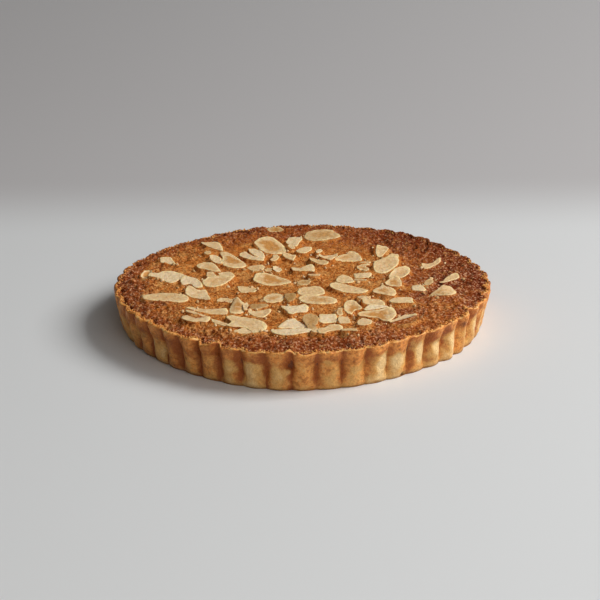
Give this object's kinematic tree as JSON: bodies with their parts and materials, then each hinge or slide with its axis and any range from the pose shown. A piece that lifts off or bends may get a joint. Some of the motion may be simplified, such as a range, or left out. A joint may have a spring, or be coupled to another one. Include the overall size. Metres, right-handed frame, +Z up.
{
  "type": "bakewell tart",
  "caption": "Round fluted shortcrust tart case filled with browned almond frangipane and topped with flaked almonds, whole and uncut.",
  "frame": {"origin": "centre of the flat base, on the surface that the tart rests on", "axes": "+Z up through the middle of the tart; -Y is the front as pictured; +X to the right"},
  "size_m": [0.2294, 0.2292, 0.0288],
  "materials": {
    "baked_shortcrust": null,
    "baked_frangipane": null
  },
  "bodies": {
    "root": {"pastry_case": "baked_shortcrust", "frangipane": "baked_frangipane"}
  },
  "joints": []
}
